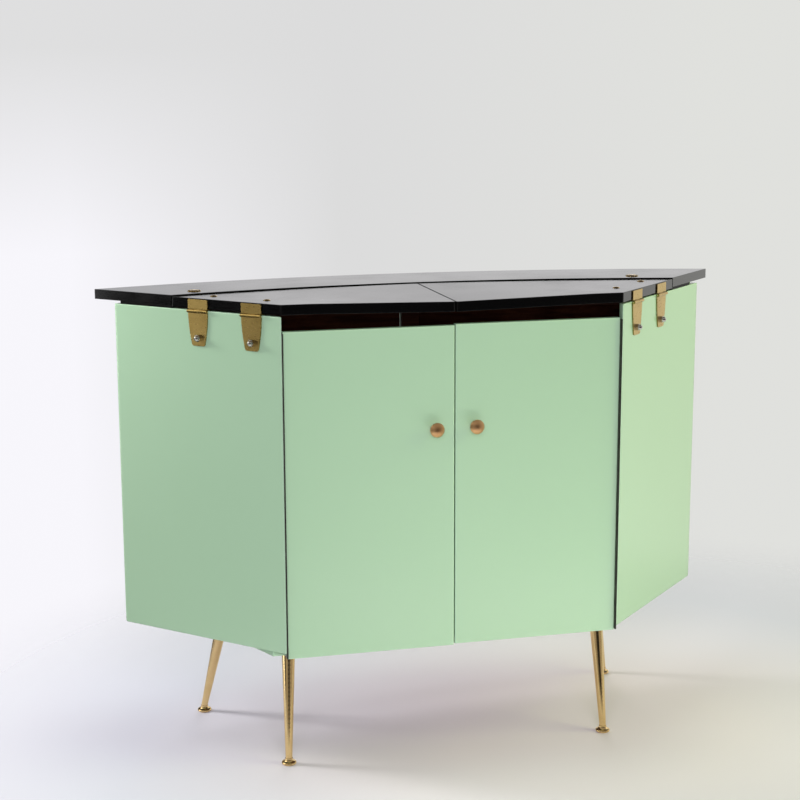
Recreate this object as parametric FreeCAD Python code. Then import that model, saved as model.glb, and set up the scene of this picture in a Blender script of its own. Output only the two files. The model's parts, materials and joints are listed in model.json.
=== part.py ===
import FreeCAD, Part
import math
import os

# Home bar cabinet. The bartender stands at the two doors in front, the sides open out at
# 45 degrees, and a black crescent counter runs along the curved back. Two front leaves close
# the top and fold out over the sides as shelves. Four splayed brass legs carry it.
# Millimetres, Z up, floor at zero. In the plan below y = 0 is the line through the front
# corners of the side panels; the finished pieces are moved so that the origin is on the floor
# under the middle of the cabinet's box.

# Carcass
front_half_width = 358.0
side_angle = 45.0
side_length = 421.8
side_thickness = 14.0
side_height = 693.5
side_corner_radius = 4.0
board_thickness = 16.0
board_setback = 2.0
fit = 0.1

# Back, in two curved halves with a batten beside the seam
back_thickness = 4.0
back_apex_inset = 20.0
back_end_inset = 6.0
back_seam_x = -12.0
back_seam_gap = 1.0
batten_width = 40.0
batten_thickness = 14.0

# Inner shelf
shelf_height = 303.5
shelf_front = 72.0
cleat_size = 20.0
cleat_front = 92.8
cleat_length = 240.0
shelf_notch_clearance = 1.0

# Crescent counter
counter_thickness = 20.5
counter_rear_apex = 441.5
counter_rear_radius = 2350.0
counter_front_apex = 268.0
counter_front_radius = 2060.0
spacer_thickness = 6.6
spacer_width = 11.0
spacer_edge_inset = 1.5
left_spacer_end_inset = 14.0
right_spacer_end_inset = 47.0
edge_round = 0.8

# Rail under the counter and the ledge that the leaves rest on
rail_inset = 24.0
rail_thickness = 26.0
rail_height = 42.5
ledge_reach = 16.0
ledge_thickness = 14.0
ledge_end_clearance = 8.0
rest_clearance = 0.3

# Rosettes that fasten the counter to the rail
rosette_x = 487.0
rosette_shift = -9.5
rosette_radius = 14.0
rosette_height = 2.6
rosette_lobes = 12
rosette_lobe_depth = 1.2
rosette_screw_radius = 2.5
rosette_screw_head_radius = 5.5
rosette_screw_length = 45.0

# Fold-out leaves
leaf_thickness = 20.5
leaf_lift = 3.9
leaf_gap = 2.5
leaf_rear_gap = 3.0
leaf_corner_radius = 4.0
leaf_split_radius = 3.0
split_x = -1.0
split_rear_x = -12.0

# Strap hinges of the leaves
strap_width = 49.0
strap_waist_width = 43.5
strap_end_width = 31.0
strap_end_radius = 5.0
strap_thickness = 2.5
strap_length = 71.0
strap_axis_drop = 1.5
strap_knuckle_radius = 3.5
strap_knuckle_stand_off = 0.4
strap_knuckle_gap = 0.3
strap_knuckle_relief = 0.5
strap_neck_thickness = 1.8
strap_pin_radius = 1.5
strap_pin_overhang = 1.5
pin_clearance = 0.05
strap_front_station = 70.8
strap_spacing = 132.5
bracket_top_margin = 1.8
bracket_corner_radius = 2.0
flange_length = 58.0
flange_thickness = 2.1

# Bolts of the strap hinges
head_rim_share = 0.3
bolt_radius = 3.0
bolt_clearance = 0.05
strap_bolt_drop = 54.7
strap_bolt_head_radius = 6.5
strap_bolt_head_height = 2.6
dome_nut_across = 13.0
dome_nut_crown_radius = 6.0
dome_nut_base = 5.0
dome_nut_height = 12.0
dome_nut_bore = 8.0
leaf_bolt_offset = -5.3
leaf_bolt_inward = 45.0
leaf_bolt_head_radius = 7.5
leaf_bolt_head_height = 2.6
leaf_nut_across = 10.0
leaf_nut_height = 5.0

# Doors
door_thickness = 16.0
door_setback = 6.0
door_drop = 13.2
door_top_drop = 30.7
door_gap = 2.5
door_edge_round = 1.0
right_door_rise = 2.2

# Continuous hinges of the doors
hinge_gap = 3.2
hinge_leaf_thickness = 0.9
hinge_leaf_width = 16.0
hinge_pin_radius = 0.8
hinge_knuckle_length = 25.0
hinge_end_margin = 3.0
hinge_knuckle_gap = 0.3
hinge_relief = 0.4
hinge_screw_line = 12.0
hinge_screw_radius = 1.3
hinge_screw_length = 8.0
hinge_screw_head_radius = 2.8
hinge_screw_head_height = 0.5
hinge_screw_margin = 35.0
hinge_screw_count = 6

# Knobs
knob_radius = 15.0
knob_reach = 26.0
knob_stem_radius = 6.0
knob_stem_share = 0.45
knob_collar_radius = 9.0
knob_collar_height = 2.0
knob_rim_height = 1.5
knob_dome_height = 7.0
knob_height = 465.5
knob_from_split = 42.2
knob_screw_radius = 2.0
knob_screw_depth = 12.0
knob_screw_head_radius = 4.5
knob_screw_head_height = 2.4

# Door catches
catch_width = 36.0
catch_height = 12.0
catch_depth = 14.0
catch_from_split = 16.0
strike_thickness = 1.2

# Legs
leg_height = 244.0
leg_top_radius = 14.4
leg_end_radius = 7.2
block_thickness = 12.5
front_leg_side_inset = 17.0
front_leg_setback = 54.0
rear_leg_side_inset = 219.3
rear_leg_back_inset = 25.0
front_block_inner_reach = 39.0
left_block_outer_reach = 40.0
right_block_outer_reach = 17.0
front_block_front_reach = 48.0
front_block_rear_reach = 54.0
front_block_splay = 25.0
rear_block_inner_reach = 57.0
rear_block_outer_reach = 33.0
rear_block_front_reach = 74.0
rear_block_rear_reach = 13.0
front_lean_x = 8.5
front_lean_y = -33.0
rear_lean_x = 44.0
rear_lean_y = 45.0
stud_radius = 4.0
stud_length = 22.0
foot_radius = 15.6
foot_height = 14.0
foot_neck_radius = 8.0
foot_rim_height = 6.0
foot_base_radius = 13.0
foot_rim_inset = 1.2
foot_bulge_share = 0.55
foot_flare_reach_share = 0.25
foot_flare_rise_share = 0.3

# Derived levels and places
COS = math.cos(math.radians(side_angle))
SIN = math.sin(math.radians(side_angle))
side_bottom = leg_height + block_thickness
side_top = side_bottom + side_height
board_top = side_bottom + board_thickness
shelf_bottom = side_bottom + shelf_height
counter_bottom = side_top + spacer_thickness
counter_top = counter_bottom + counter_thickness
leaf_bottom = side_top + leaf_lift
leaf_top = leaf_bottom + leaf_thickness
strap_axis_out = strap_knuckle_radius + strap_knuckle_stand_off
strap_axis_z = side_top - strap_axis_drop
door_bottom = side_bottom - door_drop
door_height = side_top - door_top_drop - door_bottom
door_back = door_setback + door_thickness
door_outer = front_half_width - hinge_gap
board_front = door_back + board_setback
hinge_axis_x = front_half_width - hinge_gap / 2
hinge_knuckle_radius = hinge_gap / 2
knob_front = door_setback - knob_reach
origin_y = (counter_rear_apex + knob_front) / 2
strap_stations = [strap_front_station, strap_front_station + strap_spacing]
rise_of = {1: right_door_rise, -1: 0.0}
block_reach_of = {1: right_block_outer_reach, -1: left_block_outer_reach}
spacer_inset_of = {1: right_spacer_end_inset, -1: left_spacer_end_inset}


def vec(x, y, z=0.0):
    return FreeCAD.Vector(x, y, z)


ORIGIN = vec(0, 0, 0)
UP = vec(0, 0, 1)


def flip(point):
    """The same point on the left of the middle."""
    return vec(-point.x, point.y, point.z)


def side_point(along, inward, z=0.0):
    """Point along the right side panel's outer face, a distance inward of it."""
    return vec(front_half_width + along * COS - inward * SIN, along * SIN + inward * COS, z)


def on_side(shape):
    """Set a piece drawn with x along the side and y inward on the right side panel."""
    return shape.rotated(ORIGIN, UP, side_angle).translated(side_point(0.0, 0.0))


def on_circle(x, apex, radius):
    """Point at x on an arc that bulges to the back and has its apex in the middle."""
    return vec(x, apex - radius + math.sqrt(radius ** 2 - x ** 2))


def side_meets_circle(inward, apex, radius):
    """Point where a line inward of the side's outer face meets such an arc."""
    start = side_point(0.0, inward) - vec(0, apex - radius)
    half = start.x * COS + start.y * SIN
    rest = start.dot(start) - radius ** 2
    return side_point(math.sqrt(half ** 2 - rest) - half, inward)


# The back's outer arc runs from its apex to the side panels' inner faces near their ends.
back_apex = counter_rear_apex - back_apex_inset
back_end = side_point(side_length - back_end_inset, side_thickness)
back_sag = back_apex - back_end.y
back_radius = (back_end.x ** 2 + back_sag ** 2) / (2 * back_sag)


def line(start, end):
    return Part.LineSegment(start, end).toShape()


def arc(start, end, apex, radius):
    """Edge along such an arc."""
    return Part.Arc(start, on_circle((start.x + end.x) / 2, apex, radius), end).toShape()


def plate(edges, bottom, top):
    """Upright prism on a plan outline."""
    face = Part.Face(Part.Wire(edges))
    return face.extrude(vec(0, 0, top - bottom)).translated(vec(0, 0, bottom))


def box(low, high):
    size = high - low
    return Part.makeBox(size.x, size.y, size.z, low)


def rod(radius, start, end):
    """Round bar between two points."""
    return Part.makeCylinder(radius, (end - start).Length, start, end - start)


def turned(edges):
    """Solid turned about Z from a profile in the XZ plane."""
    return Part.Face(Part.Wire(edges)).revolve(ORIGIN, UP, 360)


def hexagon(across, height):
    """Hexagonal prism standing on the XY plane."""
    corner = across / math.sqrt(3)
    turns = [math.radians(60 * step) for step in range(7)]
    points = [vec(corner * math.cos(turn), corner * math.sin(turn)) for turn in turns]
    return Part.Face(Part.makePolygon(points)).extrude(vec(0, 0, height))


def rounded_upright(shape, places):
    """Round the upright edges at plan points; places holds (point, radius) pairs."""
    for point, radius in places:
        edges = [edge for edge in shape.Edges if all(math.hypot(v.X - point.x, v.Y - point.y) < 0.01
                                                     for v in edge.Vertexes)]
        shape = shape.makeFillet(radius, edges)
    return shape


def rounded_top(shape, radius):
    """Round all edges of the topmost face."""
    top = max(shape.Faces, key=lambda face: face.CenterOfMass.z)
    return shape.makeFillet(radius, top.Edges)


def round_head(radius, height):
    """Round bolt or screw head on the XY plane, with a shallow rim under its dome."""
    rim = height * head_rim_share
    crown = height - rim
    ball = (radius ** 2 + crown ** 2) / (2 * crown)
    half = radius / 2
    middle = vec(half, 0, height - ball + math.sqrt(ball ** 2 - half ** 2))
    dome = Part.Arc(vec(radius, 0, rim), middle, UP * height).toShape()
    return turned([line(ORIGIN, vec(radius, 0, 0)), line(vec(radius, 0, 0), vec(radius, 0, rim)), dome,
                   line(UP * height, ORIGIN)])


# Carcass

def side_panel():
    """Side panel, its front end cut square to the door's edge and its lower rear corner rounded."""
    cut = side_thickness * SIN / COS
    points = [vec(0, 0), vec(side_length, 0), vec(side_length, side_thickness), vec(cut, side_thickness),
              vec(0, 0)]
    edges = [line(a, b) for a, b in zip(points, points[1:])]
    panel = plate(edges, side_bottom, side_top)
    corner = [edge for edge in panel.Edges if all(math.hypot(v.X - side_length, v.Z - side_bottom) < 0.01
                                                  for v in edge.Vertexes)]
    return on_side(panel.makeFillet(side_corner_radius, corner)).cut(strap_bolt_holes())


def strap_bolt_holes():
    """Bores for the strap bolts through a side panel."""
    z = strap_axis_z - strap_bolt_drop
    return [on_side(rod(bolt_radius + bolt_clearance, vec(station, -strap_thickness, z),
                        vec(station, side_thickness + fit, z))) for station in strap_stations]


def board(front, bottom):
    """Flat board between the side panels, from y = front to the curved back."""
    inward = side_thickness + fit
    apex = back_apex - back_thickness - fit
    radius = back_radius - back_thickness - fit
    corner = side_point((front - inward * COS) / SIN, inward)
    end = side_meets_circle(inward, apex, radius)
    edges = [line(flip(corner), corner), line(corner, end), arc(end, flip(end), apex, radius),
             line(flip(end), flip(corner))]
    return plate(edges, bottom, bottom + board_thickness)


def back_half(side):
    """One curved half of the back, from the seam to the side panel."""
    inward = side_thickness + fit
    inner_apex = back_apex - back_thickness
    inner_radius = back_radius - back_thickness
    seam = side * back_seam_x + back_seam_gap / 2
    outer_seam = on_circle(seam, back_apex, back_radius)
    outer_end = side_meets_circle(inward, back_apex, back_radius)
    inner_end = side_meets_circle(inward, inner_apex, inner_radius)
    inner_seam = on_circle(seam, inner_apex, inner_radius)
    edges = [arc(outer_seam, outer_end, back_apex, back_radius), line(outer_end, inner_end),
             arc(inner_end, inner_seam, inner_apex, inner_radius), line(inner_seam, outer_seam)]
    return plate(edges, side_bottom, counter_bottom)


def back_batten(clearance=0.0):
    """Upright batten on the back's inner face, just right of the seam."""
    apex = back_apex - back_thickness
    radius = back_radius - back_thickness
    start = back_seam_x + back_seam_gap / 2 + fit - clearance
    end = start + batten_width + 2 * clearance
    depth = batten_thickness + clearance
    left = on_circle(start, apex, radius)
    right = on_circle(end, apex, radius)
    edges = [arc(left, right, apex, radius), line(right, vec(end, apex - depth)),
             line(vec(end, apex - depth), vec(start, apex - depth)), line(vec(start, apex - depth), left)]
    return plate(edges, board_top, counter_bottom)


def shelf():
    """Inner shelf, notched round the batten."""
    return board(shelf_front, shelf_bottom).cut(back_batten(shelf_notch_clearance))


def shelf_cleat():
    """Cleat under the shelf on the side panel's inner face."""
    low = vec(cleat_front, side_thickness, shelf_bottom - cleat_size)
    high = vec(cleat_front + cleat_length, side_thickness + cleat_size, shelf_bottom)
    return on_side(box(low, high))


# Counter

def rail_band(near, far, bottom, top):
    """Curved strip across the carcass, between two distances behind the counter's front edge."""
    inward = side_thickness + fit
    inner = (counter_front_apex + near, counter_front_radius + near)
    outer = (counter_front_apex + far, counter_front_radius + far)
    start = side_meets_circle(inward, *inner)
    end = side_meets_circle(inward, *outer)
    edges = [arc(flip(start), start, *inner), line(start, end), arc(end, flip(end), *outer),
             line(flip(end), flip(start))]
    return plate(edges, bottom, top)


def rosette_place(side):
    """Plan point of a rosette, over the middle of the rail; both sit a little to the left."""
    middle = rail_inset + rail_thickness / 2
    x = side * rosette_x + rosette_shift
    return on_circle(x, counter_front_apex + middle, counter_front_radius + middle)


def rosette_bores():
    """Screw bores under both rosettes, through the counter and into the rail."""
    tops = [rosette_place(side) + vec(0, 0, counter_top) for side in (1, -1)]
    return [rod(rosette_screw_radius + fit, top, top - vec(0, 0, rosette_screw_length)) for top in tops]


def counter_rail():
    rail = rail_band(rail_inset, rail_inset + rail_thickness, counter_bottom - rail_height, counter_bottom)
    return rail.cut(rosette_bores())


def leaf_ledge():
    """Ledge on the rail's front face that carries the leaves, between their rear brackets."""
    top = leaf_bottom - rest_clearance
    band = rail_band(-ledge_reach, rail_inset, top - ledge_thickness, top)
    bracket_corner = side_point(strap_stations[-1] - strap_width / 2, flange_length, top)
    end = bracket_corner.x - ledge_end_clearance
    return band.common(box(vec(-end, 0, top - ledge_thickness), vec(end, counter_rear_apex, top)))


def counter():
    """Crescent counter, its ends in line with the side panels."""
    front = (counter_front_apex, counter_front_radius)
    rear = (counter_rear_apex, counter_rear_radius)
    seam = side_meets_circle(0.0, *front)
    corner = side_meets_circle(0.0, *rear)
    edges = [arc(flip(seam), seam, *front), line(seam, corner), arc(corner, flip(corner), *rear),
             line(flip(corner), flip(seam))]
    top = rounded_top(plate(edges, counter_bottom, counter_top), edge_round)
    return top.cut(rosette_bores())


def counter_spacer(side):
    """Packing strip between a side panel and the counter; the right one ends earlier."""
    seam = side_meets_circle(0.0, counter_front_apex, counter_front_radius)
    start = (seam.y - spacer_edge_inset * COS) / SIN
    low = vec(start, spacer_edge_inset, side_top)
    high = vec(side_length - spacer_inset_of[side], spacer_edge_inset + spacer_width, counter_bottom)
    return on_side(box(low, high))


def countersink(clearance):
    """Cone of a rosette screw's flat head, seated in the rosette."""
    narrow = rosette_screw_radius + clearance
    return Part.makeCone(narrow, rosette_screw_head_radius + clearance, rosette_height)


def rosette(side):
    """Flat scalloped brass disc on the counter, countersunk for its screw."""
    disc = rounded_top(rod(rosette_radius, ORIGIN, UP * rosette_height), edge_round)
    scallop = rod(rosette_lobe_depth, vec(rosette_radius, 0, 0), vec(rosette_radius, 0, rosette_height))
    cuts = [scallop.rotated(ORIGIN, UP, 360.0 * lobe / rosette_lobes) for lobe in range(rosette_lobes)]
    return disc.cut(cuts + [countersink(fit)]).translated(rosette_place(side) + vec(0, 0, counter_top))


def rosette_screw(side):
    """Flat-headed screw through a rosette into the rail."""
    shank = rod(rosette_screw_radius, UP * rosette_height, UP * (rosette_height - rosette_screw_length))
    return countersink(0.0).fuse(shank).translated(rosette_place(side) + vec(0, 0, counter_top))


# Leaves

def leaf_bolt_places():
    """Places of a leaf's bolts, along the side and inward."""
    return [vec(station + leaf_bolt_offset, leaf_bolt_inward) for station in strap_stations]


def leaf_board(side):
    """Front leaf of the top, between the split, the side and the counter."""
    apex = counter_front_apex - leaf_rear_gap
    radius = counter_front_radius - leaf_rear_gap
    inner = vec(side * split_x + leaf_gap / 2, 0.0)
    outer = side_point(0.0, 0.0)
    seam = side_meets_circle(0.0, apex, radius)
    rear = on_circle(side * split_rear_x + leaf_gap / 2, apex, radius)
    edges = [line(inner, outer), line(outer, seam), arc(seam, rear, apex, radius), line(rear, inner)]
    top = plate(edges, leaf_bottom, leaf_top)
    top = rounded_upright(top, [(outer, leaf_corner_radius), (inner, leaf_split_radius)])
    top = rounded_top(top, edge_round)
    bores = [on_side(rod(bolt_radius + bolt_clearance, place + UP * leaf_bottom, place + UP * leaf_top))
             for place in leaf_bolt_places()]
    return top.cut(bores)


def leaf_bolt(place):
    """Dome-headed brass bolt through a leaf and its bracket."""
    head = round_head(leaf_bolt_head_radius, leaf_bolt_head_height)
    length = leaf_thickness + flange_thickness + leaf_nut_height
    bolt = head.fuse(rod(bolt_radius, ORIGIN, vec(0, 0, -length)))
    return on_side(bolt.translated(place + vec(0, 0, leaf_top)))


def leaf_nut(place):
    """Nut under a leaf's bracket."""
    nut = hexagon(leaf_nut_across, leaf_nut_height)
    nut = nut.cut(rod(bolt_radius + bolt_clearance, ORIGIN, vec(0, 0, leaf_nut_height)))
    base = leaf_bottom - flange_thickness - leaf_nut_height
    return on_side(nut.translated(place + vec(0, 0, base)))


# Strap hinges, drawn with x along the side, y inward and the hinge in the middle

def strap_knuckle(start, end):
    """Length of rolled knuckle about the strap hinge axis."""
    axis = vec(0, -strap_axis_out, strap_axis_z)
    return rod(strap_knuckle_radius, axis + vec(start, 0), axis + vec(end, 0))


def strap_bore():
    half = strap_width / 2
    start = vec(-half, -strap_axis_out, strap_axis_z)
    return rod(strap_pin_radius + pin_clearance, start, start + vec(strap_width, 0, 0))


def strap(station):
    """Tapered strap on the side panel, with the two outer knuckles."""
    half = strap_width / 2
    waist = strap_waist_width / 2
    end = strap_end_width / 2
    low = strap_axis_z - strap_length
    shoulder = strap_axis_z - strap_knuckle_radius - strap_knuckle_relief
    middle = (low + shoulder) / 2
    right_arc = Part.Arc(vec(end, 0, low), vec(waist, 0, middle), vec(half, 0, shoulder)).toShape()
    left_arc = Part.Arc(vec(-half, 0, shoulder), vec(-waist, 0, middle), vec(-end, 0, low)).toShape()
    top = [vec(half, 0, shoulder), vec(half, 0, strap_axis_z), vec(-half, 0, strap_axis_z),
           vec(-half, 0, shoulder)]
    edges = [line(vec(-end, 0, low), vec(end, 0, low)), right_arc]
    edges += [line(a, b) for a, b in zip(top, top[1:])] + [left_arc]
    body = Part.Face(Part.Wire(edges)).extrude(vec(0, -strap_thickness, 0))
    corners = [edge for edge in body.Edges if all(abs(v.Z - low) < 0.01 for v in edge.Vertexes)
               and edge.Length < strap_thickness + 0.01]
    body = body.makeFillet(strap_end_radius, corners)
    third = strap_width / 6
    inner = third + strap_knuckle_gap
    notch = box(vec(-inner, -strap_thickness, shoulder), vec(inner, 0, strap_axis_z))
    body = body.cut(notch).fuse([strap_knuckle(-half, -inner), strap_knuckle(inner, half)])
    z = strap_axis_z - strap_bolt_drop
    hole = rod(bolt_radius + bolt_clearance, vec(0, -strap_thickness, z), vec(0, 0, z))
    body = body.cut([strap_bore(), hole]).removeSplitter()
    return on_side(body.translated(vec(station, 0, 0)))


def bracket(station):
    """Angle bracket on the leaf: plate on its edge, flange under it, middle knuckle."""
    half = strap_width / 2
    third = strap_width / 6
    top = leaf_top - bracket_top_margin
    flange_bottom = leaf_bottom - flange_thickness
    relief = strap_axis_z + strap_knuckle_radius + strap_knuckle_relief
    face = box(vec(-half, -strap_thickness, relief), vec(half, 0, top))
    corners = [edge for edge in face.Edges if all(abs(v.Z - top) < 0.01 for v in edge.Vertexes)
               and edge.Length < strap_thickness + 0.01]
    face = face.makeFillet(bracket_corner_radius, corners)
    neck_back = strap_neck_thickness - strap_thickness
    neck = box(vec(-third, -strap_thickness, strap_axis_z), vec(third, neck_back, relief))
    flange = box(vec(-half, 0, flange_bottom), vec(half, flange_length, leaf_bottom))
    body = face.fuse([neck, flange, strap_knuckle(-third, third)])
    place = vec(leaf_bolt_offset, leaf_bolt_inward)
    hole = rod(bolt_radius + bolt_clearance, place + UP * flange_bottom, place + UP * leaf_bottom)
    body = body.cut([strap_bore(), hole]).removeSplitter()
    return on_side(body.translated(vec(station, 0, 0)))


def strap_pin(station):
    """Hinge pin through the three knuckles."""
    reach = strap_width / 2 + strap_pin_overhang
    start = vec(station - reach, -strap_axis_out, strap_axis_z)
    return on_side(rod(strap_pin_radius, start, start + vec(2 * reach, 0, 0)))


def strap_bolt(station):
    """Bolt through strap and side panel, its round head inside the cabinet."""
    z = strap_axis_z - strap_bolt_drop
    head = round_head(strap_bolt_head_radius, strap_bolt_head_height)
    length = side_thickness + strap_thickness + dome_nut_bore
    bolt = head.fuse(rod(bolt_radius, ORIGIN, vec(0, 0, -length)))
    bolt = bolt.rotated(ORIGIN, vec(1, 0, 0), -90)
    return on_side(bolt.translated(vec(station, side_thickness, z)))


def dome_nut(station):
    """Bright cap nut on the strap."""
    wide = dome_nut_crown_radius
    crown = dome_nut_height - dome_nut_base
    middle = vec(wide * math.sqrt(0.5), 0, dome_nut_base + crown * math.sqrt(0.5))
    dome = Part.Arc(vec(wide, 0, dome_nut_base), middle, vec(0, 0, dome_nut_height)).toShape()
    cap = turned([line(ORIGIN, vec(wide, 0, 0)), line(vec(wide, 0, 0), vec(wide, 0, dome_nut_base)),
                  dome, line(vec(0, 0, dome_nut_height), ORIGIN)])
    nut = cap.fuse(hexagon(dome_nut_across, dome_nut_base))
    nut = nut.cut(rod(bolt_radius + bolt_clearance, ORIGIN, vec(0, 0, dome_nut_bore + fit)))
    nut = nut.rotated(ORIGIN, vec(1, 0, 0), 90)
    return on_side(nut.translated(vec(station, -strap_thickness, strap_axis_z - strap_bolt_drop)))


# Doors and their continuous hinges, with the axis upright at the front corner

def door_levels(side):
    """Bottom and top of a door."""
    bottom = door_bottom + rise_of[side]
    return bottom, bottom + door_height


def hinge_levels(side):
    """Bottom and top of a door's continuous hinge."""
    bottom, top = door_levels(side)
    return bottom + hinge_end_margin, top - hinge_end_margin


def hinge_screw_levels(side):
    """Heights of the hinge screws, evenly spread over the part of the door beside the panel."""
    low = side_bottom + hinge_screw_margin
    high = door_levels(side)[1] - hinge_screw_margin
    step = (high - low) / (hinge_screw_count - 1)
    return [low + step * index for index in range(hinge_screw_count)]


def hinge_screw_bores(side, seat, direction, length):
    """Bores for one row of hinge screws, from a seat at x."""
    radius = hinge_screw_radius + fit
    return [rod(radius, vec(seat, hinge_screw_line, z), vec(seat + direction * length, hinge_screw_line, z))
            for z in hinge_screw_levels(side)]


def hinge_screws(side, seat, direction):
    """Row of pan-headed screws driven in a direction along x, heads on a seat at x."""
    rows = []
    for z in hinge_screw_levels(side):
        base = vec(seat, hinge_screw_line, z)
        head = rod(hinge_screw_head_radius, base, base - vec(direction * hinge_screw_head_height, 0))
        shank = rod(hinge_screw_radius, base, base + vec(direction * hinge_screw_length, 0))
        rows.append(head.fuse(shank))
    return rows


def frame_screws(side):
    """Screws that hold the frame's hinge leaf to the side panel."""
    return hinge_screws(side, front_half_width - hinge_leaf_thickness, 1)


def hinge_leaf(side, plate_low, plate_high, first):
    """Continuous hinge leaf; it rolls every second knuckle, counted from first."""
    bottom, top = hinge_levels(side)
    count = 2 * int((top - bottom) / hinge_knuckle_length / 2) + 1
    pitch = (top - bottom) / count
    gap = hinge_knuckle_gap / 2
    body = box(vec(plate_low, 0, bottom), vec(plate_high, hinge_leaf_width, top))
    reliefs = []
    knuckles = []
    for index in range(count):
        low = vec(hinge_axis_x, 0, bottom + index * pitch)
        high = low + vec(0, 0, pitch)
        if index % 2 == first:
            knuckles.append(rod(hinge_knuckle_radius, low + UP * gap, high - UP * gap))
        else:
            reliefs.append(rod(hinge_knuckle_radius + hinge_relief, low - UP * gap, high + UP * gap))
    bore = rod(hinge_pin_radius + pin_clearance, vec(hinge_axis_x, 0, bottom), vec(hinge_axis_x, 0, top))
    screws = hinge_screw_bores(side, plate_low, 1, hinge_leaf_thickness)
    return body.cut(reliefs).fuse(knuckles).cut([bore] + screws).removeSplitter()


def frame_leaf(side):
    return hinge_leaf(side, front_half_width - hinge_leaf_thickness, front_half_width, 0)


def door_leaf(side):
    return hinge_leaf(side, door_outer, door_outer + hinge_leaf_thickness, 1)


def hinge_pin(side):
    bottom, top = hinge_levels(side)
    return rod(hinge_pin_radius, vec(hinge_axis_x, 0, bottom), vec(hinge_axis_x, 0, top))


def knob_place(side):
    """Centre of a knob on the door's front face."""
    return vec(side * split_x + knob_from_split, door_setback, door_levels(side)[0] + knob_height)


def door_panel(side):
    """Flat door, bored for its knob and hinge screws."""
    bottom, top = door_levels(side)
    low = vec(side * split_x + door_gap / 2, door_setback, bottom)
    panel = box(low, vec(door_outer, door_back, top))
    front = [edge for edge in panel.Edges if all(abs(v.Y - door_setback) < 0.01 for v in edge.Vertexes)]
    panel = panel.makeFillet(door_edge_round, front)
    knob_bore = rod(knob_screw_radius + fit, knob_place(side), knob_place(side) + vec(0, door_thickness, 0))
    return panel.cut([knob_bore] + hinge_screw_bores(side, door_outer, -1, hinge_screw_length + fit))


def knob(side):
    """Turned knob: collar, stem, flared neck and domed face."""
    rim_low = knob_reach - knob_dome_height - knob_rim_height
    rim_high = knob_reach - knob_dome_height
    neck = knob_collar_height + (rim_low - knob_collar_height) * knob_stem_share
    flare = Part.Arc(vec(knob_stem_radius, 0, neck),
                     vec((knob_stem_radius * 2 + knob_radius) / 3, 0, (neck + rim_low * 2) / 3),
                     vec(knob_radius, 0, rim_low)).toShape()
    ball = (knob_radius ** 2 + knob_dome_height ** 2) / (2 * knob_dome_height)
    half = knob_radius / 2
    dome_middle = vec(half, 0, knob_reach - ball + math.sqrt(ball ** 2 - half ** 2))
    dome = Part.Arc(vec(knob_radius, 0, rim_high), dome_middle, vec(0, 0, knob_reach)).toShape()
    corners = [ORIGIN, vec(knob_collar_radius, 0, 0), vec(knob_collar_radius, 0, knob_collar_height),
               vec(knob_stem_radius, 0, knob_collar_height), vec(knob_stem_radius, 0, neck)]
    edges = [line(a, b) for a, b in zip(corners, corners[1:])]
    edges += [flare, line(vec(knob_radius, 0, rim_low), vec(knob_radius, 0, rim_high)), dome,
              line(vec(0, 0, knob_reach), ORIGIN)]
    body = turned(edges).cut(rod(knob_screw_radius + fit, ORIGIN, vec(0, 0, knob_screw_depth + fit)))
    return body.rotated(ORIGIN, vec(1, 0, 0), 90).translated(knob_place(side))


def knob_screw(side):
    """Screw from inside the door into the knob."""
    head = round_head(knob_screw_head_radius, knob_screw_head_height)
    screw = head.fuse(rod(knob_screw_radius, ORIGIN, vec(0, 0, -door_thickness - knob_screw_depth)))
    inside = knob_place(side) + vec(0, door_thickness, 0)
    return screw.rotated(ORIGIN, vec(1, 0, 0), -90).translated(inside)


def catch_start(side):
    return side * split_x + catch_from_split


def catch(side):
    """Magnetic catch on the bottom board."""
    low = vec(catch_start(side), board_front, board_top)
    return box(low, low + vec(catch_width, catch_depth, catch_height))


def strike(side):
    """Steel plate on the door's inner face, facing the catch."""
    low = vec(catch_start(side), door_back, board_top)
    return box(low, low + vec(catch_width, strike_thickness, catch_height))


# Legs, drawn from the leg block's underside

def leg_tops():
    """Plan points of the right front and right rear leg tops."""
    rear_x = side_point(side_length, 0).x - rear_leg_side_inset
    return {"front": vec(front_half_width - front_leg_side_inset, board_front + front_leg_setback),
            "rear": on_circle(rear_x, back_apex, back_radius) - vec(0, rear_leg_back_inset)}


leg_leans = {"front": vec(front_lean_x, front_lean_y), "rear": vec(rear_lean_x, rear_lean_y)}


def leg_axis(end):
    """Top centre and direction, down and outward, of a leg."""
    top = leg_tops()[end] + vec(0, 0, leg_height)
    foot = leg_tops()[end] + leg_leans[end] + vec(0, 0, foot_height)
    return top, foot


def leg_stud(end, clearance):
    """Stud on top of a leg, along the leg's axis."""
    top, foot = leg_axis(end)
    rise = (top - foot).normalize()
    return rod(stud_radius + clearance, top - rise * stud_radius, top + rise * (stud_length + clearance))


def front_block(side):
    """Block over a front leg, its outer edge splayed towards the side panel."""
    top = leg_tops()["front"]
    low = top.y - front_block_front_reach
    high = top.y + front_block_rear_reach
    inner = top.x - front_block_inner_reach
    outer = top.x + block_reach_of[side]
    spread = (high - low) * math.tan(math.radians(front_block_splay))
    points = [vec(inner, low), vec(outer, low), vec(outer + spread, high), vec(inner, high),
              vec(inner, low)]
    edges = [line(a, b) for a, b in zip(points, points[1:])]
    return plate(edges, leg_height, side_bottom).cut(leg_stud("front", fit))


def rear_block():
    """Block over a rear leg."""
    top = leg_tops()["rear"]
    low = vec(top.x - rear_block_inner_reach, top.y - rear_block_front_reach, leg_height)
    high = vec(top.x + rear_block_outer_reach, top.y + rear_block_rear_reach, side_bottom)
    return box(low, high).cut(leg_stud("rear", fit))


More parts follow.
